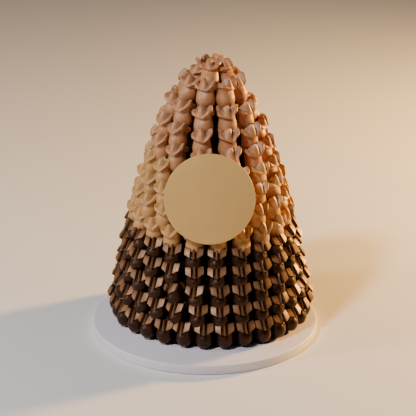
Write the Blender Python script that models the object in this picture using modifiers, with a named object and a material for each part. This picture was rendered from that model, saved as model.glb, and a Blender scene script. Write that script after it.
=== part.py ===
"""Chocolate pyramid: a tall cone of small pouch-shaped chocolates on a round cake board.

Metres, +Z up. The origin is the centre of the board's underside, and -Y is the front,
where a thin round plaque leans against the chocolates.

The chocolates stand in level courses, one solid per course. Each course is a drum whose
wall is pushed out to the outline of its chocolates: a round body, a narrow neck and a
flared ruffle, with a groove between one chocolate and the next.
"""
import math
import random

import bmesh
import bpy
from mathutils import Matrix, Vector

# ------------------------------------------------------------------ board
BOARD_RADIUS = 0.150
BOARD_THICKNESS = 0.0125
BOARD_EDGE_ROUND = 0.0018
BOARD_SEGMENTS = 96

# ------------------------------------------------------------------ pyramid
PYRAMID_X = 0.0075            # the pyramid stands a little right of the board's middle
PYRAMID_Y = 0.0205            # and towards its back
PLAN_DEPTH = 0.95             # depth of the pyramid's plan for each unit of width
OUTLINE_RADIUS = 0.1435       # outer radius where the outline meets the board
OUTLINE_HEIGHT = 0.356        # height at which the outline closes
COURSE_GAP = 0.0003           # air between solids that touch
FIRST_RUFFLE_HEIGHT = 0.0305  # middle of the first course's ruffles, above the board
STEPS_PER_CHOCOLATE = 4       # wall vertices for each chocolate, in each level
UNEVENNESS = 0.0007           # how far a chocolate stands proud or shy of its course
SEED = 14

# Sizes of one chocolate of each kind. The ruffle radius is to the middle of its folds and
# the lip radius to its lower edge.
KINDS = {
    "dark": {"body_radius": 0.0105, "ruffle_radius": 0.0140, "lip_radius": 0.0172,
             "length": 0.0365, "pitch": 0.0244},
    "caramel": {"body_radius": 0.0124, "ruffle_radius": 0.0145, "lip_radius": 0.0147,
                "length": 0.041, "pitch": 0.0235},
    "milk": {"body_radius": 0.0130, "ruffle_radius": 0.0147, "lip_radius": 0.0150,
             "length": 0.042, "pitch": 0.0236},
}
RUFFLE_MIDDLE = 0.80          # height of the ruffle's middle, as a share of the length
RUFFLE_SHARE = 0.30           # height of the ruffle, as a share of the length

# One line per course, from the board up: kind, chocolates in the course, the turn of the
# first one in degrees to the right of the front, the lean towards the axis in degrees, and
# how far the course rises above level at the front, at the left and at the right.
COURSES = [
    ("dark", 30, -3.9, 7, (0.0, 0.0, 0.0)),
    ("dark", 27, 5.6, 7, (-0.0015, 0.0040, 0.0030)),
    ("dark", 25, 4.9, 7, (-0.0015, 0.0060, 0.0040)),
    ("dark", 23, 4.2, 7, (-0.0020, 0.0060, 0.0040)),
    ("dark", 22, 4.0, 7, (-0.0030, 0.0065, 0.0025)),
    ("caramel", 20, 5.0, 7, (-0.0035, 0.0070, 0.0020)),
    ("caramel", 18, 0.0, 7, (-0.0030, 0.0070, 0.0020)),
    ("caramel", 16, 0.0, 7, (-0.0020, 0.0075, 0.0025)),
    ("caramel", 14, 0.0, 8, (-0.0010, 0.0080, 0.0025)),
    ("milk", 12, -10.0, 8, (0.0, 0.0085, 0.0010)),
    ("milk", 11, -11.5, 9, (0.0, 0.0100, 0.0010)),
    ("milk", 10, -12.4, 12, (0.0, 0.0100, 0.0)),
    ("milk", 8, -15.5, 20, (0.0, 0.0030, 0.0)),
    ("milk", 5, -8.0, 34, (0.0, -0.0080, -0.0030)),
]
STRETCHED_PITCH = {12: 0.0260, 13: 0.0305, 14: 0.0190}   # courses near the tip, by number
TIP_RISE = 0.0056             # the last course leans in, which lifts its ruffles' lips

# ------------------------------------------------------------------ plaque
PLAQUE_RADIUS = 0.0574
PLAQUE_THICKNESS = 0.0030
PLAQUE_EDGE_ROUND = 0.0008
PLAQUE_LEAN = 12.0            # degrees back from upright
PLAQUE_X = 0.0052
PLAQUE_HEIGHT = 0.1950        # its middle, above the board
PLAQUE_BACK = -0.0737         # the middle of its back
PLAQUE_SEGMENTS = 72

# ------------------------------------------------------------------ finishes
FINISHES = {
    "white_board": ((0.80, 0.79, 0.80), 0.55),
    "dark_chocolate": ((0.060, 0.028, 0.016), 0.38),
    "caramel_chocolate": ((0.60, 0.36, 0.18), 0.45),
    "milk_chocolate": ((0.52, 0.30, 0.19), 0.45),
    "plaque_chocolate": ((0.68, 0.50, 0.26), 0.45),
}


def clear_scene():
    for item in list(bpy.data.objects):
        bpy.data.objects.remove(item, do_unlink=True)


def new_collection(name):
    group = bpy.data.collections.new(name)
    bpy.context.scene.collection.children.link(group)
    return group


def finish(name):
    """A plain Principled material in the piece's own colour."""
    colour, roughness = FINISHES[name]
    material = bpy.data.materials.new(name)
    material.use_nodes = True
    shader = material.node_tree.nodes["Principled BSDF"]
    shader.inputs["Base Color"].default_value = (*colour, 1.0)
    shader.inputs["Roughness"].default_value = roughness
    shader.inputs["Metallic"].default_value = 0.0
    material.diffuse_color = (*colour, 1.0)
    return material


def add_object(name, bm, material, group):
    mesh = bpy.data.meshes.new(name)
    bm.to_mesh(mesh)
    bm.free()
    mesh.materials.append(material)
    item = bpy.data.objects.new(name, mesh)
    group.objects.link(item)
    return item


def add_disc(name, radius, thickness, edge_round, segments, material, group):
    """A thin round plate standing on its own origin, with both rims rounded over."""
    bm = bmesh.new()
    bmesh.ops.create_cone(
        bm, cap_ends=True, segments=segments, radius1=radius, radius2=radius, depth=thickness,
        matrix=Matrix.Translation((0.0, 0.0, thickness / 2)))
    item = add_object(name, bm, material, group)
    bevel = item.modifiers.new("rounded rims", "BEVEL")
    bevel.width = edge_round
    bevel.segments = 2
    bevel.limit_method = "ANGLE"
    bevel.angle_limit = math.radians(40)
    item.data.shade_smooth()
    item.data.set_sharp_from_angle(angle=math.radians(30))
    return item


# ------------------------------------------------------------------ courses of chocolates

def outline_radius(height):
    """Outer radius of the pyramid at a height above the board."""
    return OUTLINE_RADIUS * math.sqrt(max(0.0, 1.0 - height / OUTLINE_HEIGHT))


def course_layout():
    """Where each course stands: the heights of its bodies and ruffles, and its radii."""
    layout = []
    ruffle_height = FIRST_RUFFLE_HEIGHT
    for number, (kind, count, turn, lean, rise) in enumerate(COURSES, start=1):
        size = KINDS[kind]
        if number > 1:
            ruffle_height += STRETCHED_PITCH.get(number, size["pitch"])
        lean_angle = math.radians(lean)
        arm = RUFFLE_MIDDLE * size["length"] - size["body_radius"]
        radius = outline_radius(ruffle_height)
        layout.append({
            "number": number,
            "kind": kind,
            "count": count,
            "turn": math.radians(turn),
            "lean": lean_angle,
            "rise": rise,
            "radius": radius,
            "ruffle_height": ruffle_height,
            "ruffle_axis": radius - size["ruffle_radius"],
            "body_height": ruffle_height - arm * math.cos(lean_angle),
            "half_ruffle": RUFFLE_SHARE * size["length"] / 2,
        })
    return layout


def rise_slope(course, angle):
    """How steeply a course climbs outwards from the axis, seen from above at an angle."""
    front, left, right = course["rise"]
    side = left if math.sin(angle) < 0 else right
    share = math.sin(angle) ** 2
    return (front * (1 - share) + side * share) / course["radius"]


def course_levels(course, foot):
    """Levels of a course's wall: height, axis, reach at a chocolate's middle, sides and
    groove, and how much of the rise is the course's own rather than that of the one below.

    The wall starts on the ledge of the course below, swells to the bodies, draws in at the
    necks and flares to the tops of the ruffles.
    """
    size = KINDS[course["kind"]]
    body, lip = size["body_radius"], size["lip_radius"]
    top = course["ruffle_height"] + course["half_ruffle"]
    if course["number"] == len(COURSES):
        top += TIP_RISE
    neck = course["ruffle_height"] - course["half_ruffle"]
    swell = max(course["body_height"], foot + 0.4 * (neck - foot))
    slope = math.tan(course["lean"])

    def axis(height):
        return course["ruffle_axis"] + (course["ruffle_height"] - height) * slope

    return [
        (foot, axis(foot), (0.62 * body, 0.50 * body, 0.05 * body), 0.0),
        (swell, axis(swell), (1.00 * body, 0.80 * body, -0.10 * body), 0.5),
        (neck, axis(neck), (0.68 * body, 0.55 * body, -0.15 * body), 1.0),
        (top, axis(top), (0.92 * lip, 1.00 * lip, -0.05 * lip), 1.0),
    ]


def wall_point(course, below, level, step, proud):
    """A wall vertex: step 0 is a chocolate's middle, 1 and 3 its sides, 2 the groove."""
    height, axis, (middle, side, groove), own = level
    chocolate, place = divmod(step, STEPS_PER_CHOCOLATE)
    reach = (middle, side, groove, side)[place]
    if place != 2:
        reach += proud[chocolate]
    angle = course["turn"] + 2 * math.pi * step / (STEPS_PER_CHOCOLATE * course["count"])
    radius = max(axis + reach, 0.003)
    slope = own * rise_slope(course, angle) + (1 - own) * rise_slope(below, angle)
    return Vector((
        PYRAMID_X + radius * math.sin(angle),
        PYRAMID_Y - PLAN_DEPTH * radius * math.cos(angle),
        BOARD_THICKNESS + height + radius * slope))


def add_course(course, below, foot, material, group, rng):
    """One closed drum of chocolates, extruded level by level and pushed to its outline."""
    levels = course_levels(course, foot)
    steps = STEPS_PER_CHOCOLATE * course["count"]
    proud = [rng.uniform(-UNEVENNESS, UNEVENNESS) for _ in range(course["count"])]
    bm = bmesh.new()
    bmesh.ops.create_cone(
        bm, cap_ends=True, segments=steps, radius1=1.0, radius2=1.0, depth=1.0,
        matrix=Matrix.Translation((0.0, 0.0, 0.5)))
    for number in range(2, len(levels)):
        lid = max(bm.faces, key=lambda face: face.calc_center_median().z)
        grown = bmesh.ops.extrude_face_region(bm, geom=[lid])["geom"]
        rim = [item for item in grown if isinstance(item, bmesh.types.BMVert)]
        bmesh.ops.translate(bm, verts=rim, vec=(0.0, 0.0, 1.0))
        bmesh.ops.delete(bm, geom=[lid], context="FACES_ONLY")
    lids = [face for face in bm.faces if len(face.verts) > 4]
    bmesh.ops.poke(bm, faces=lids)
    for vert in bm.verts:
        level = levels[round(vert.co.z)]
        if vert.co.xy.length < 0.5:
            vert.co = (PYRAMID_X, PYRAMID_Y, BOARD_THICKNESS + level[0])
            continue
        step = round(math.atan2(vert.co.x, -vert.co.y) / (2 * math.pi) * steps) % steps
        vert.co = wall_point(course, below, level, step, proud)
    bmesh.ops.recalc_face_normals(bm, faces=bm.faces)
    name = f"{course['kind']}_course_{course['number']}"
    return add_object(name, bm, material, group)


# ------------------------------------------------------------------ the object

def build():
    clear_scene()
    group = new_collection("chocolate_pyramid")
    materials = {name: finish(name) for name in FINISHES}
    rng = random.Random(SEED)

    add_disc("cake_board", BOARD_RADIUS, BOARD_THICKNESS, BOARD_EDGE_ROUND, BOARD_SEGMENTS,
             materials["white_board"], group)

    layout = course_layout()
    below, foot = layout[0], COURSE_GAP
    for course in layout:
        add_course(course, below, foot, materials[f"{course['kind']}_chocolate"], group, rng)
        below, foot = course, course["ruffle_height"] + course["half_ruffle"] + COURSE_GAP

    plaque = add_disc("plaque", PLAQUE_RADIUS, PLAQUE_THICKNESS, PLAQUE_EDGE_ROUND,
                      PLAQUE_SEGMENTS, materials["plaque_chocolate"], group)
    plaque.location = (PLAQUE_X, PLAQUE_BACK, BOARD_THICKNESS + PLAQUE_HEIGHT)
    plaque.rotation_euler = (math.radians(90 - PLAQUE_LEAN), 0.0, 0.0)


build()
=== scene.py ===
"""Chocolate pyramid: moulded pouch chocolates in three bands on a round board.

Metres, +Z up. The board's underside is centred on the origin and the front is towards -Y.
"""
import math
import random

import bmesh
import bpy
from mathutils import Matrix, Vector


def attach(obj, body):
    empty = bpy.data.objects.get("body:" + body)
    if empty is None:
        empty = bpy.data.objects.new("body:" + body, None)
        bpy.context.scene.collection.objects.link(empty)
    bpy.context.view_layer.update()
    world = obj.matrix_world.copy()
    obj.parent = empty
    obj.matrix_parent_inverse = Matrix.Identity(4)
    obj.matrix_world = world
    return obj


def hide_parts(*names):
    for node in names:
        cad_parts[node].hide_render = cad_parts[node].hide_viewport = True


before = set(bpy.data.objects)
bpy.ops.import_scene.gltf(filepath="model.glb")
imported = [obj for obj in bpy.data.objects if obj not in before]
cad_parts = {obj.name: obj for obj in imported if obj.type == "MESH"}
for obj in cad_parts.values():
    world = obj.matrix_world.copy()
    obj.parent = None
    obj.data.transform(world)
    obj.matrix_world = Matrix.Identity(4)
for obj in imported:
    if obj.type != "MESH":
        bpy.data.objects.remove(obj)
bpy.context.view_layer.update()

# ------------------------------------------------------------------ sizes, in metres
MM = 0.001
NEARLY = 1e-5                 # heights this close count as the same

BOARD_RADIUS = 0.150
BOARD_THICKNESS = 0.0125
BOARD_RIM = 0.0018
BOARD_SIDES = 160

PYRAMID_X = 0.0075            # the pyramid stands a little right of the board's middle
PYRAMID_Y = 0.0205            # and towards its back
PLAN_DEPTH = 0.95             # depth of the pyramid's plan for each unit of width
OUTLINE_RADIUS = 0.1435       # outer radius where the outline meets the board
OUTLINE_HEIGHT = 0.356        # height at which the outline closes
FIRST_RUFFLE_HEIGHT = 0.0305  # middle of the first course's ruffles, above the board

PLAQUE_RADIUS = 0.0574
PLAQUE_THICKNESS = 0.0030
PLAQUE_RIM = 0.0008
PLAQUE_SIDES = 128
PLAQUE_LEAN = 12.0            # degrees back from upright
PLAQUE_X = 0.0052
PLAQUE_HEIGHT = 0.1950        # its middle, above the board
PLAQUE_BACK = -0.0737         # the middle of its back

CORE_HEIGHTS = (0.0003, 0.04, 0.08, 0.12, 0.16, 0.20, 0.24, 0.28, 0.31, 0.33, 0.342)
CORE_INSET = 0.0205           # how far the core stays inside the outline
CORE_LEAST_RADIUS = 0.004
CORE_SIDES = 64

KINDS = {
    "dark": {"ruffle_radius": 0.0140, "length": 0.0365, "pitch": 0.0244},
    "caramel": {"ruffle_radius": 0.0145, "length": 0.041, "pitch": 0.0235},
    "milk": {"ruffle_radius": 0.0147, "length": 0.042, "pitch": 0.0236},
}
RUFFLE_MIDDLE = 0.80          # height of the ruffle's middle, as a share of the length

# One line per course, from the board up: kind, chocolates in the course, the turn of the
# first one in degrees to the right of the front, the lean towards the axis in degrees, and
# how far the course rises above level at the front, at the left and at the right.
COURSES = [
    ("dark", 30, -3.9, 7, (0.0, 0.0, 0.0)),
    ("dark", 27, 5.6, 7, (-0.0015, 0.0040, 0.0030)),
    ("dark", 25, 4.9, 7, (-0.0015, 0.0060, 0.0040)),
    ("dark", 23, 4.2, 7, (-0.0020, 0.0060, 0.0040)),
    ("dark", 22, 4.0, 7, (-0.0030, 0.0065, 0.0025)),
    ("caramel", 20, 5.0, 7, (-0.0035, 0.0070, 0.0020)),
    ("caramel", 18, 0.0, 7, (-0.0030, 0.0070, 0.0020)),
    ("caramel", 16, 0.0, 7, (-0.0020, 0.0075, 0.0025)),
    ("caramel", 14, 0.0, 8, (-0.0010, 0.0080, 0.0025)),
    ("milk", 12, -10.0, 8, (0.0, 0.0085, 0.0010)),
    ("milk", 11, -11.5, 9, (0.0, 0.0100, 0.0010)),
    ("milk", 10, -12.4, 12, (0.0, 0.0100, 0.0)),
    ("milk", 8, -15.5, 20, (0.0, 0.0030, 0.0)),
    ("milk", 5, -8.0, 34, (0.0, -0.0080, -0.0030)),
]
STRETCHED_PITCH = {12: 0.0260, 13: 0.0305, 14: 0.0190}   # courses near the tip, by number

SEED = 14
UNEVENNESS = 0.0007           # how far a chocolate stands proud or shy of its course
SIZE_SPREAD = 0.02
TWIST_SPREAD = 9.0            # degrees, as are the next two
LEAN_SPREAD = 1.8
ROLL_SPREAD = 2.0
SIDE_TWIST = {"left": 30.0, "right": -20.0}   # how far the ruffles turn forward at the sides

# ------------------------------------------------------------------ moulds, in millimetres
# The wall is the plain turned part, from the foot to the neck, as (height, radius). Above it
# four rings run round the ruffle: its lower lip, the middle of its folds, the pockets above
# and its top rim. Each ring goes from the left side over the front to the right side as
# (right, front, height); the back half repeats the front, turned half round and drawn in.
SIDES = 20
MOULD_LENGTH = 42.0
WALL = [(0.0, 5.4), (3.4, 9.6), (10.0, 13.0), (17.4, 12.6)]
LAPEL_RINGS = {
    "lip": [(-12.0, 0.0, 28.0), (-13.8, 9.4, 27.0), (-9.4, 13.6, 25.8), (-5.0, 15.2, 24.4),
            (-1.8, 15.0, 23.2), (1.8, 15.0, 22.4), (4.4, 15.8, 23.6), (7.2, 16.0, 26.4),
            (13.8, 11.8, 32.8), (12.8, 4.4, 31.6)],
    "fold": [(-12.2, 0.0, 31.6), (-14.6, 9.6, 32.0), (-10.4, 13.8, 30.6), (-6.8, 10.6, 29.8),
             (-3.6, 15.2, 28.0), (2.2, 15.8, 27.0), (5.2, 10.8, 29.4), (7.8, 15.4, 31.6),
             (14.4, 11.2, 38.0), (13.2, 4.0, 35.8)],
    "pocket": [(-10.8, 0.0, 33.2), (-13.2, 5.8, 33.8), (-10.0, 6.4, 32.6), (-7.0, 2.2, 30.8),
               (-5.6, 14.8, 34.0), (2.8, 16.4, 34.0), (5.0, 2.2, 31.6), (8.0, 7.4, 35.8),
               (13.2, 7.4, 39.6), (12.0, 3.0, 37.2)],
    "rim": [(-9.4, 0.0, 34.2), (-11.6, 4.2, 34.8), (-9.2, 4.0, 34.4), (-6.6, 1.8, 32.6),
            (-5.4, 10.6, 40.8), (2.6, 12.2, 41.6), (4.6, 1.8, 35.4), (7.4, 5.4, 39.6),
            (12.2, 5.8, 41.4), (10.8, 2.4, 39.0)],
}
PANEL_RINGS = {
    "lip": [(-12.8, 0.0, 31.0), (-13.8, 12.2, 29.4), (-5.7, 16.2, 26.0), (-3.5, 11.0, 24.4),
            (-1.4, 13.6, 22.8), (1.2, 14.0, 22.4), (3.3, 11.0, 24.0), (5.3, 16.6, 25.8),
            (13.8, 13.6, 30.4), (13.4, 4.4, 31.0)],
    "fold": [(-12.6, 0.0, 34.0), (-13.9, 9.8, 33.2), (-5.7, 13.6, 31.0), (-3.7, 5.4, 29.8),
             (-1.4, 13.0, 29.2), (1.2, 13.6, 29.0), (3.4, 5.4, 29.6), (5.3, 14.0, 31.0),
             (13.9, 11.0, 34.4), (13.2, 3.4, 34.4)],
    "pocket": [(-12.2, 0.0, 36.0), (-13.8, 7.4, 36.2), (-5.7, 10.8, 35.4), (-3.7, 3.2, 33.6),
               (-1.4, 10.6, 35.4), (1.2, 11.2, 35.4), (3.4, 3.2, 33.8), (5.3, 11.0, 35.8),
               (13.8, 8.6, 37.4), (12.8, 2.4, 36.8)],
    "rim": [(-11.6, 0.0, 38.0), (-13.6, 5.4, 38.8), (-5.7, 8.4, 38.8), (-3.7, 2.8, 36.2),
            (-1.4, 8.2, 40.0), (1.2, 9.0, 40.4), (3.4, 2.8, 36.6), (5.3, 8.6, 39.6),
            (13.6, 6.2, 40.6), (12.2, 1.8, 39.4)],
}
RUFFLES = {"dark": PANEL_RINGS, "caramel": LAPEL_RINGS, "milk": LAPEL_RINGS}
NECK_SHARE = (0.72, 0.56)     # the neck's reach, right and front, as shares of the lip's
NECK_DROP = 0.4               # how far the neck lies below the lip
BACK_SHARE = 0.86             # how far the back half is drawn in
HOLLOW = (31.0, 4.4)          # height and radius of the hollow's floor, inside the ruffle

# Rings and columns, counted from the middle of the front, whose edges stay crisp, and how
# crisp. Each row is laid on the front half and again on the back half.
CREASES = (
    ((1,), range(-5, 6), 1.2),
    ((4,), range(-5, 6), 0.7),
    ((2,), (-4, -3), 0.5),
    ((2,), (2, 3), 0.5),
    ((1, 2, 3, 4), (-4,), 0.6),
    ((1, 2, 3, 4), (3,), 0.6),
    ((1, 2, 3, 4), (-3,), 0.5),
    ((1, 2, 3, 4), (2,), 0.5),
)
CRISPNESS = {"dark": 1.0, "caramel": 0.5, "milk": 0.5}
SMOOTH_ANGLE = math.radians(50)
DISC_SMOOTH_ANGLE = math.radians(40)

# how much of the panels' bronze dust and painted highlight each column and each ring of a ruffle takes
PANEL_SHARES = {-4: 1.0, -3: 0.8, -1: 0.75, 0: 0.75, 2: 0.8, 3: 1.0}
RING_SHARES = {1: 0.9, 2: 1.0, 3: 0.85, 4: 0.65}
# reach from the axis at which a pocket is deepest, and at which a fold is out of it
POCKET_REACH = 7.0
FOLD_REACH = 12.0

# ------------------------------------------------------------------ colours and lights
FINISHES = {
    "dark": {
        "name": "bronzed_dark_chocolate",
        "main": (0.036, 0.0128, 0.0048),
        "deep": (0.020, 0.007, 0.0026),
        # bronze dust on the panels, with painted highlight
        "dust_and_highlight": (0.275, 0.132, 0.056),
        "metal": (0.45, 0.08),
        "roughness": 0.40,
        "shine": 0.25,
    },
    "caramel": {
        "name": "caramel_chocolate",
        "main": (0.44, 0.225, 0.070),
        "deep": (0.37, 0.175, 0.048),
        # painted cool grey shading in the ruffle's pockets
        "pocket": (0.38, 0.27, 0.15),
        "roughness": 0.44,
    },
    "milk": {
        "name": "pale_milk_chocolate",
        "main": (0.40, 0.177, 0.074),
        "deep": (0.33, 0.138, 0.054),
        # painted cool grey shading in the ruffle's pockets
        "pocket": (0.30, 0.19, 0.13),
        "roughness": 0.46,
    },
    # near black: painted shade in the gaps between the chocolates
    "core": {
        "name": "painted_gap_shade",
        "main": (0.006, 0.003, 0.002),
        "deep": (0.004, 0.002, 0.001),
        "roughness": 0.9,
        "shine": 0.05,
    },
}
PALER = 1.12                  # how much paler the palest chocolate is than the main colour
PLAQUE_COLOURS = ((0.56, 0.345, 0.110), (0.60, 0.38, 0.130))
# off-white with a painted lilac cast of the light falling on the board
BOARD_COLOURS = ((0.66, 0.625, 0.70), (0.70, 0.67, 0.74))

FLOOR_SIZE = 6.0
FLOOR_DROP = 0.0002           # keeps the floor just clear of the board's underside
FLOOR_COLOUR = (0.74, 0.73, 0.72, 1.0)
WORLD_COLOUR = (0.86, 0.88, 0.93, 1.0)
WORLD_STRENGTH = 0.05
LIGHT_TARGET = (0.0, 0.0, 0.18)
# name, place, diameter, watts, colour
LIGHTS = (
    ("left_window", (-2.0, -0.35, 1.0), 0.4, 22.0, (1.0, 0.92, 0.87)),
    ("front_lamp", (-1.0, -1.2, 1.9), 0.3, 44.0, (1.0, 0.97, 0.96)),
    ("right_lamp", (1.45, 0.75, 0.55), 0.2, 105.0, (1.0, 0.54, 0.14)),
)

CAMERA_DISTANCE = 2.0270      # from the middle of the board's top
CAMERA_ELEVATION = 24.77      # degrees
CAMERA_ROLL = 0.27            # degrees
IMAGE_WIDTH = 416.0           # pixels, as are the next three
FOCAL_LENGTH = 1502.2
AIM_RIGHT = -2.60             # how far off the middle of the board's top the lens is aimed
AIM_UP = 108.04
SENSOR_WIDTH = 36.0           # millimetres


# ------------------------------------------------------------------ working by hand

def deselect():
    for item in list(bpy.context.selected_objects):
        item.select_set(False)


def start_edit(item):
    deselect()
    item.select_set(True)
    bpy.context.view_layer.objects.active = item
    bpy.ops.object.mode_set(mode="EDIT")
    bpy.ops.mesh.select_mode(type="VERT")
    bpy.ops.mesh.select_all(action="DESELECT")


def end_edit():
    bpy.ops.object.mode_set(mode="OBJECT")


def pick(item, test):
    """Select just the vertices whose place passes the test."""
    bpy.ops.mesh.select_all(action="DESELECT")
    mesh = bmesh.from_edit_mesh(item.data)
    for vert in mesh.verts:
        vert.select = test(vert.co)
    mesh.select_flush(True)
    bmesh.update_edit_mesh(item.data)


def apply_modifiers(item):
    bpy.context.view_layer.objects.active = item
    for modifier in list(item.modifiers):
        bpy.ops.object.modifier_apply(modifier=modifier.name)


def name_active(name):
    item = bpy.context.object
    item.name = name
    item.data.name = name
    return item


def apply_place(item):
    deselect()
    item.select_set(True)
    bpy.context.view_layer.objects.active = item
    bpy.ops.object.transform_apply(location=True, rotation=True, scale=True)


def raise_wall(levels):
    """Extrude the selected top face up through levels of (height, radius)."""
    for (low, before), (high, after) in zip(levels, levels[1:]):
        bpy.ops.mesh.extrude_region_move(
            TRANSFORM_OT_translate={"value": (0.0, 0.0, high - low)})
        bpy.ops.transform.resize(
            value=(after / before, after / before, 1.0), center_override=(0.0, 0.0, high))


# ------------------------------------------------------------------ moulded chocolates

def fold_point(ring, column):
    """Where a fold ring passes a column, counted to the right from the middle of the front."""
    half = SIDES // 2
    turns, place = divmod(column + half // 2, half)
    right, front, height = ring[place]
    share = -BACK_SHARE if turns % 2 else 1.0
    return Vector((share * right, -share * front, height)) * MM


def mark_columns(item, first_height):
    """Note each vertex's ring, from the first fold ring up, and its column."""
    mesh = bmesh.from_edit_mesh(item.data)
    rings = mesh.verts.layers.int.new("ring")
    columns = mesh.verts.layers.int.new("column")
    for vert in mesh.verts:
        vert[rings] = round((vert.co.z - first_height) / MM)
        turn = math.atan2(vert.co.x, -vert.co.y) / (2 * math.pi) * SIDES
        vert[columns] = round(turn) % SIDES
    bmesh.update_edit_mesh(item.data)


def pick_marked(item, test):
    """Select the vertices whose ring and column pass the test; return the first one's place."""
    bpy.ops.mesh.select_all(action="DESELECT")
    mesh = bmesh.from_edit_mesh(item.data)
    rings = mesh.verts.layers.int["ring"]
    columns = mesh.verts.layers.int["column"]
    chosen = [vert for vert in mesh.verts if test(vert[rings], vert[columns])]
    for vert in chosen:
        vert.select = True
    mesh.select_flush(True)
    bmesh.update_edit_mesh(item.data)
    return chosen[0].co.copy()


def note_finish(item):
    """Store each point's share of the ruffle's bronze dust and painted highlight, and how deep in a
    pocket it lies, for the painted cool grey shading there.
    """
    mesh = bmesh.from_edit_mesh(item.data)
    rings = mesh.verts.layers.int["ring"]
    columns = mesh.verts.layers.int["column"]
    dust_and_highlight = mesh.verts.layers.float.new("dust_and_highlight")
    pocket = mesh.verts.layers.float.new("pocket")
    for vert in mesh.verts:
        if vert[rings] not in RING_SHARES:
            continue
        column = (vert[columns] + SIDES // 4) % (SIDES // 2) - SIDES // 4
        reach = math.hypot(vert.co.x, vert.co.y) / MM
        depth = (FOLD_REACH - reach) / (FOLD_REACH - POCKET_REACH)
        # the share of bronze dust and painted highlight, and the depth into a pocket for the painted
        # grey shading
        vert[dust_and_highlight] = PANEL_SHARES.get(column, 0.0) * RING_SHARES[vert[rings]]
        vert[pocket] = min(1.0, max(0.0, depth))
    bmesh.update_edit_mesh(item.data)


def crease_edges(item, crispness):
    for crisp_rings, crisp_columns, sharp in CREASES:
        for half_turn in (0, SIDES // 2):
            crisp = {(column + half_turn) % SIDES for column in crisp_columns}
            pick_marked(item, lambda ring, side: ring in crisp_rings and side in crisp)
            bpy.ops.transform.edge_crease(value=min(1.0, sharp * crispness))


def model_chocolate(kind):
    """A gathered pouch: round body, drawn-in neck and a hollow ruffle of broad folds."""
    rings = RUFFLES[kind]
    neck = [(NECK_SHARE[0] * right, NECK_SHARE[1] * front, height - NECK_DROP)
            for right, front, height in rings["lip"]]
    fold_rings = (neck, rings["lip"], rings["fold"], rings["pocket"], rings["rim"])
    wall = [(height * MM, radius * MM) for height, radius in WALL]
    (foot_height, foot_radius), (first_height, first_radius) = wall[:2]
    neck_height, neck_radius = wall[-1]
    plain = [(neck_height + (number + 1) * MM, neck_radius) for number in range(len(fold_rings))]
    floor_height, floor_radius = (value * MM for value in HOLLOW)
    top_height = plain[-1][0] + MM

    deselect()
    bpy.ops.mesh.primitive_cone_add(
        vertices=SIDES, radius1=foot_radius, radius2=first_radius,
        depth=first_height - foot_height, end_fill_type="NGON",
        location=(0.0, 0.0, (foot_height + first_height) / 2))
    item = name_active(f"{kind}_chocolate")
    apply_place(item)
    start_edit(item)
    pick(item, lambda place: place.z > first_height - NEARLY)
    raise_wall(wall[1:] + plain + [(top_height, floor_radius)])

    # the plain tube above the body is drawn out into folds, and its lid sunk into a hollow
    mark_columns(item, plain[0][0])
    for number, ring_points in enumerate(fold_rings):
        for column in range(SIDES):
            place = pick_marked(item, lambda ring, side: (ring, side) == (number, column))
            bpy.ops.transform.translate(value=fold_point(ring_points, column) - place)
    pick_marked(item, lambda ring, side: ring == len(fold_rings))
    bpy.ops.transform.translate(value=(0.0, 0.0, floor_height - top_height))
    note_finish(item)
    crease_edges(item, CRISPNESS[kind])
    end_edit()

    smooth = item.modifiers.new("smooth", "SUBSURF")
    smooth.levels = 1
    smooth.render_levels = 1
    apply_modifiers(item)
    item.scale = (KINDS[kind]["length"] / MM / MOULD_LENGTH,) * 3
    apply_place(item)
    bpy.ops.object.shade_smooth_by_angle(angle=SMOOTH_ANGLE)
    return item


# ------------------------------------------------------------------ courses

def outline_radius(height):
    """Outer radius of the pyramid at a height above the board."""
    return OUTLINE_RADIUS * math.sqrt(max(0.0, 1.0 - height / OUTLINE_HEIGHT))


def course_rise(rise, angle):
    """How far a course rises above level, seen from above at an angle."""
    front, left, right = rise
    side = left if math.sin(angle) < 0 else right
    share = math.sin(angle) ** 2
    return front * (1 - share) + side * share


def course_heights():
    """Height of each course's ruffles above the board."""
    heights = [FIRST_RUFFLE_HEIGHT]
    for number in range(2, len(COURSES) + 1):
        kind = COURSES[number - 1][0]
        heights.append(heights[-1] + STRETCHED_PITCH.get(number, KINDS[kind]["pitch"]))
    return heights


def chocolate_place(kind, height, angle, lean, rise, proud, rng):
    """Where one chocolate stands: its ruffle on the outline, leaning in, a little uneven."""
    size = KINDS[kind]
    radius = outline_radius(height) - size["ruffle_radius"] + proud
    spot = Vector((
        PYRAMID_X + radius * math.sin(angle),
        PYRAMID_Y - PLAN_DEPTH * radius * math.cos(angle),
        BOARD_THICKNESS + height + course_rise(rise, angle)))
    side = "left" if math.sin(angle) < 0 else "right"
    twist = SIDE_TWIST[side] * math.sin(angle) ** 2 + rng.gauss(0.0, TWIST_SPREAD)
    tilt = -lean + rng.gauss(0.0, LEAN_SPREAD)
    roll = rng.gauss(0.0, ROLL_SPREAD)
    scale = 1.0 + rng.uniform(-SIZE_SPREAD, SIZE_SPREAD)
    return (
        Matrix.Translation(spot) @ Matrix.Rotation(angle, 4, "Z")
        @ Matrix.Rotation(math.radians(tilt), 4, "X")
        @ Matrix.Rotation(math.radians(roll), 4, "Y")
        @ Matrix.Rotation(math.radians(twist), 4, "Z") @ Matrix.Scale(scale, 4)
        @ Matrix.Translation((0.0, 0.0, -RUFFLE_MIDDLE * size["length"])))


def copy_chocolate(first, place, tone):
    copy = first.copy()
    copy.data = first.data.copy()
    bpy.context.scene.collection.objects.link(copy)
    copy.matrix_world = place
    tones = copy.data.attributes.new("tone", "FLOAT", "POINT")
    tones.data.foreach_set("value", [tone] * len(copy.data.vertices))
    return copy


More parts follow.
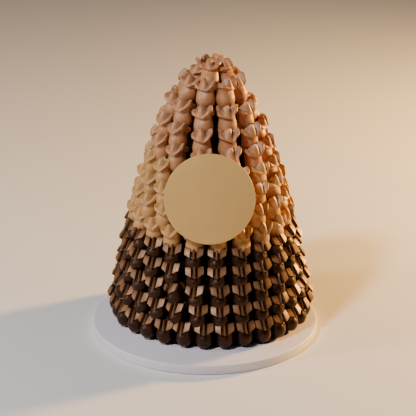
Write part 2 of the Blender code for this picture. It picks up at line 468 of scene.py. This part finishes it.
def lay_courses(kind, first, proud, rng):
    """Copies of one chocolate round every course of its kind, joined into one piece."""
    copies = []
    for course, height, stands in zip(COURSES, course_heights(), proud):
        course_kind, count, turn, lean, rise = course
        if course_kind != kind:
            continue
        for number in range(count):
            angle = math.radians(turn + 360.0 * number / count)
            place = chocolate_place(kind, height, angle, lean, rise, stands[number], rng)
            copies.append(copy_chocolate(first, place, rng.random()))
    bpy.data.objects.remove(first, do_unlink=True)
    deselect()
    for copy in copies:
        copy.select_set(True)
    bpy.context.view_layer.objects.active = copies[0]
    bpy.ops.object.join()
    item = name_active(f"{kind}_chocolates")
    apply_place(item)
    return item


# ------------------------------------------------------------------ core, plaque and board

def model_core():
    """The cone that carries the chocolates, oval in plan like the courses, near black as painted shade
    in the gaps between them.
    """
    levels = [(height, max(outline_radius(height) - CORE_INSET, CORE_LEAST_RADIUS))
              for height in CORE_HEIGHTS]
    (foot_height, foot_radius), (first_height, first_radius) = levels[:2]
    deselect()
    bpy.ops.mesh.primitive_cone_add(
        vertices=CORE_SIDES, radius1=foot_radius, radius2=first_radius,
        depth=first_height - foot_height, end_fill_type="NGON",
        location=(0.0, 0.0, (foot_height + first_height) / 2))
    item = name_active("core_cone")
    apply_place(item)
    start_edit(item)
    pick(item, lambda place: place.z > first_height - NEARLY)
    raise_wall(levels[1:])
    end_edit()
    item.scale = (1.0, PLAN_DEPTH, 1.0)
    item.location = (PYRAMID_X, PYRAMID_Y, BOARD_THICKNESS)
    apply_place(item)
    bpy.ops.object.shade_smooth_by_angle(angle=DISC_SMOOTH_ANGLE)
    return item


def model_disc(name, radius, thickness, rim, sides):
    """A round slab standing on its own origin, both rims rounded over."""
    deselect()
    bpy.ops.mesh.primitive_cylinder_add(
        vertices=sides, radius=radius, depth=thickness, location=(0.0, 0.0, thickness / 2))
    item = name_active(name)
    apply_place(item)
    start_edit(item)
    bpy.ops.mesh.select_mode(type="EDGE")
    mesh = bmesh.from_edit_mesh(item.data)
    for edge in mesh.edges:
        low, high = edge.verts
        edge.select = abs(low.co.z - high.co.z) < NEARLY
    bmesh.update_edit_mesh(item.data)
    bpy.ops.mesh.bevel(offset=rim, segments=3, affect="EDGES", profile=0.5)
    end_edit()
    bpy.ops.object.shade_smooth_by_angle(angle=DISC_SMOOTH_ANGLE)
    return item


def model_plaque():
    item = model_disc("plaque_disc", PLAQUE_RADIUS, PLAQUE_THICKNESS, PLAQUE_RIM, PLAQUE_SIDES)
    item.location = (PLAQUE_X, PLAQUE_BACK, BOARD_THICKNESS + PLAQUE_HEIGHT)
    item.rotation_euler = (math.radians(90 - PLAQUE_LEAN), 0.0, 0.0)
    apply_place(item)
    return item


# ------------------------------------------------------------------ finishes

def new_finish(name):
    material = bpy.data.materials.new(name)
    material.use_nodes = True
    return material, material.node_tree, material.node_tree.nodes["Principled BSDF"]


def add_node(tree, kind, **settings):
    node = tree.nodes.new(kind)
    for key, value in settings.items():
        if key in node.inputs:
            node.inputs[key].default_value = value
        else:
            setattr(node, key, value)
    return node


def noise(tree, scale, detail, roughness=0.5):
    place = add_node(tree, "ShaderNodeTexCoord")
    texture = add_node(tree, "ShaderNodeTexNoise", Scale=scale, Detail=detail, Roughness=roughness)
    tree.links.new(place.outputs["Object"], texture.inputs["Vector"])
    return texture.outputs["Fac"]


def blend_colours(tree, share, low, high):
    """A colour that goes from low to high with share; either may be a socket."""
    mix = add_node(tree, "ShaderNodeMix", data_type="RGBA")
    for socket, value in ((mix.inputs[6], low), (mix.inputs[7], high)):
        if isinstance(value, bpy.types.NodeSocket):
            tree.links.new(value, socket)
        else:
            socket.default_value = (*value, 1.0)
    tree.links.new(share, mix.inputs[0])
    return mix.outputs[2]


def spread(tree, value, low, high, to_low=0.0, to_high=1.0):
    """Map a value's range onto another, held at the ends."""
    node = add_node(tree, "ShaderNodeMapRange")
    for key, number in (("From Min", low), ("From Max", high), ("To Min", to_low),
                        ("To Max", to_high)):
        node.inputs[key].default_value = number
    tree.links.new(value, node.inputs["Value"])
    return node.outputs["Result"]


def add_bump(tree, shader, height, strength, distance):
    node = add_node(tree, "ShaderNodeBump", Strength=strength, Distance=distance)
    tree.links.new(height, node.inputs["Height"])
    tree.links.new(node.outputs["Normal"], shader.inputs["Normal"])


def attribute(tree, name):
    return add_node(tree, "ShaderNodeAttribute", attribute_name=name).outputs["Fac"]


def chocolate_finish(name, main, deep, roughness, shine=0.5, dust_and_highlight=None, pocket=None, metal=None):
    """Moulded chocolate, each piece a little different; bronze dust and painted highlight on the
    panels, painted cool grey shading in the pockets.
    """
    material, tree, shader = new_finish(name)
    paler = tuple(PALER * value for value in main)
    clouds = noise(tree, scale=60.0, detail=2.0)
    cloud = spread(tree, clouds, low=0.35, high=0.65, to_low=0.0, to_high=0.3)
    colour = blend_colours(tree, attribute(tree, "tone"), main, paler)
    colour = blend_colours(tree, cloud, colour, deep)
    if pocket:
        # painted cool grey shading in the ruffle's pockets
        colour = blend_colours(tree, attribute(tree, "pocket"), colour, pocket)
    # bronze dust and painted highlight on the ruffle's panels
    if dust_and_highlight:
        strokes = noise(tree, scale=900.0, detail=2.0)
        brushed = spread(tree, strokes, low=0.3, high=0.7, to_low=0.6, to_high=1.0)
        dust_and_highlight_share = add_node(tree, "ShaderNodeMath", operation="MULTIPLY")
        dust_and_highlight_mask = spread(tree, attribute(tree, "dust_and_highlight"), low=0.3, high=0.95)
        tree.links.new(dust_and_highlight_mask, dust_and_highlight_share.inputs[0])
        tree.links.new(brushed, dust_and_highlight_share.inputs[1])
        colour = blend_colours(tree, dust_and_highlight_share.outputs[0], colour, dust_and_highlight)
        plain_metal, dust_and_highlight_metal = metal
        bronze = spread(tree, dust_and_highlight_share.outputs[0], 0.0, 1.0, plain_metal, dust_and_highlight_metal)
        tree.links.new(bronze, shader.inputs["Metallic"])
    tree.links.new(colour, shader.inputs["Base Color"])
    grain = noise(tree, scale=420.0, detail=3.0, roughness=0.6)
    dullness = spread(tree, grain, low=0.3, high=0.7, to_low=roughness - 0.05, to_high=roughness + 0.06)
    tree.links.new(dullness, shader.inputs["Roughness"])
    shader.inputs["Specular IOR Level"].default_value = shine
    surface = noise(tree, scale=160.0, detail=4.0, roughness=0.55)
    add_bump(tree, shader, surface, strength=0.2, distance=0.0005)
    return material


def plaque_finish():
    material, tree, shader = new_finish("golden_chocolate")
    cloud = spread(tree, noise(tree, scale=22.0, detail=4.0), low=0.3, high=0.7)
    tree.links.new(blend_colours(tree, cloud, *PLAQUE_COLOURS), shader.inputs["Base Color"])
    shader.inputs["Roughness"].default_value = 0.42
    shader.inputs["Subsurface Weight"].default_value = 0.1
    shader.inputs["Subsurface Scale"].default_value = 0.002
    surface = noise(tree, scale=90.0, detail=4.0)
    add_bump(tree, shader, surface, strength=0.12, distance=0.0005)
    return material


def board_finish():
    material, tree, shader = new_finish("wrapped_board")
    cloud = spread(tree, noise(tree, scale=9.0, detail=3.0), low=0.3, high=0.7)
    tree.links.new(blend_colours(tree, cloud, *BOARD_COLOURS), shader.inputs["Base Color"])
    shader.inputs["Roughness"].default_value = 0.5
    surface = noise(tree, scale=700.0, detail=3.0)
    add_bump(tree, shader, surface, strength=0.08, distance=0.0003)
    return material


# ------------------------------------------------------------------ floor, light and camera

def lay_floor():
    deselect()
    bpy.ops.mesh.primitive_plane_add(size=FLOOR_SIZE, location=(0.0, 0.0, -FLOOR_DROP))
    floor = name_active("studio_floor")
    material, _, shader = new_finish("studio_floor")
    shader.inputs["Base Color"].default_value = FLOOR_COLOUR
    shader.inputs["Roughness"].default_value = 0.7
    floor.data.materials.append(material)
    return floor


def light_room():
    world = bpy.data.worlds.new("studio")
    world.use_nodes = True
    background = world.node_tree.nodes["Background"]
    background.inputs["Color"].default_value = WORLD_COLOUR
    background.inputs["Strength"].default_value = WORLD_STRENGTH
    bpy.context.scene.world = world


def add_light(name, place, diameter, watts, colour):
    data = bpy.data.lights.new(name, "AREA")
    data.shape = "DISK"
    data.size = diameter
    data.energy = watts
    data.color = colour
    item = bpy.data.objects.new(name, data)
    item.location = place
    aim = Vector(LIGHT_TARGET) - Vector(place)
    item.rotation_euler = aim.to_track_quat("-Z", "Y").to_euler()
    bpy.context.scene.collection.objects.link(item)


def turn_towards(axis, other, angle):
    """Two axes at right angles, both turned by an angle, the first towards the second."""
    return (axis * math.cos(angle) + other * math.sin(angle),
            other * math.cos(angle) - axis * math.sin(angle))


def aim_camera():
    """A long lens a little above the piece, aimed off the board's middle, turned slightly."""
    elevation = math.radians(CAMERA_ELEVATION)
    right = Vector((1.0, 0.0, 0.0))
    ahead = Vector((0.0, math.cos(elevation), -math.sin(elevation)))
    up = right.cross(ahead)
    right, ahead = turn_towards(right, ahead, math.atan2(AIM_RIGHT, FOCAL_LENGTH))
    ahead, up = turn_towards(ahead, up, math.atan2(AIM_UP, FOCAL_LENGTH))
    right, up = turn_towards(right, up, math.radians(CAMERA_ROLL))
    data = bpy.data.cameras.new("camera")
    data.sensor_width = SENSOR_WIDTH
    data.lens = SENSOR_WIDTH * FOCAL_LENGTH / IMAGE_WIDTH
    item = bpy.data.objects.new("camera", data)
    matrix = Matrix((right, up, -ahead)).transposed().to_4x4()
    matrix.translation = Vector((
        0.0, -CAMERA_DISTANCE * math.cos(elevation),
        CAMERA_DISTANCE * math.sin(elevation) + BOARD_THICKNESS))
    item.matrix_world = matrix
    bpy.context.scene.collection.objects.link(item)
    bpy.context.scene.camera = item


# ------------------------------------------------------------------ the object

course_rng = random.Random(SEED)
look_rng = random.Random(SEED + 1)
proud = [[course_rng.uniform(-UNEVENNESS, UNEVENNESS) for _ in range(course[1])]
         for course in COURSES]

for kind in KINDS:
    piece = lay_courses(kind, model_chocolate(kind), proud, look_rng)
    piece.data.materials.append(chocolate_finish(**FINISHES[kind]))
    nodes = sorted(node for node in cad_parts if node.startswith(f"{kind}_course_"))
    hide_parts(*nodes)
    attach(piece, "root")

core = model_core()
core.data.materials.append(chocolate_finish(**FINISHES["core"]))
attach(core, "root")

plaque = model_plaque()
plaque.data.materials.append(plaque_finish())
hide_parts("plaque")
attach(plaque, "root")

board = model_disc("round_board", BOARD_RADIUS, BOARD_THICKNESS, BOARD_RIM, BOARD_SIDES)
board.data.materials.append(board_finish())
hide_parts("cake_board")
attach(board, "root")

floor = lay_floor()
light_room()
for light in LIGHTS:
    add_light(*light)
aim_camera()
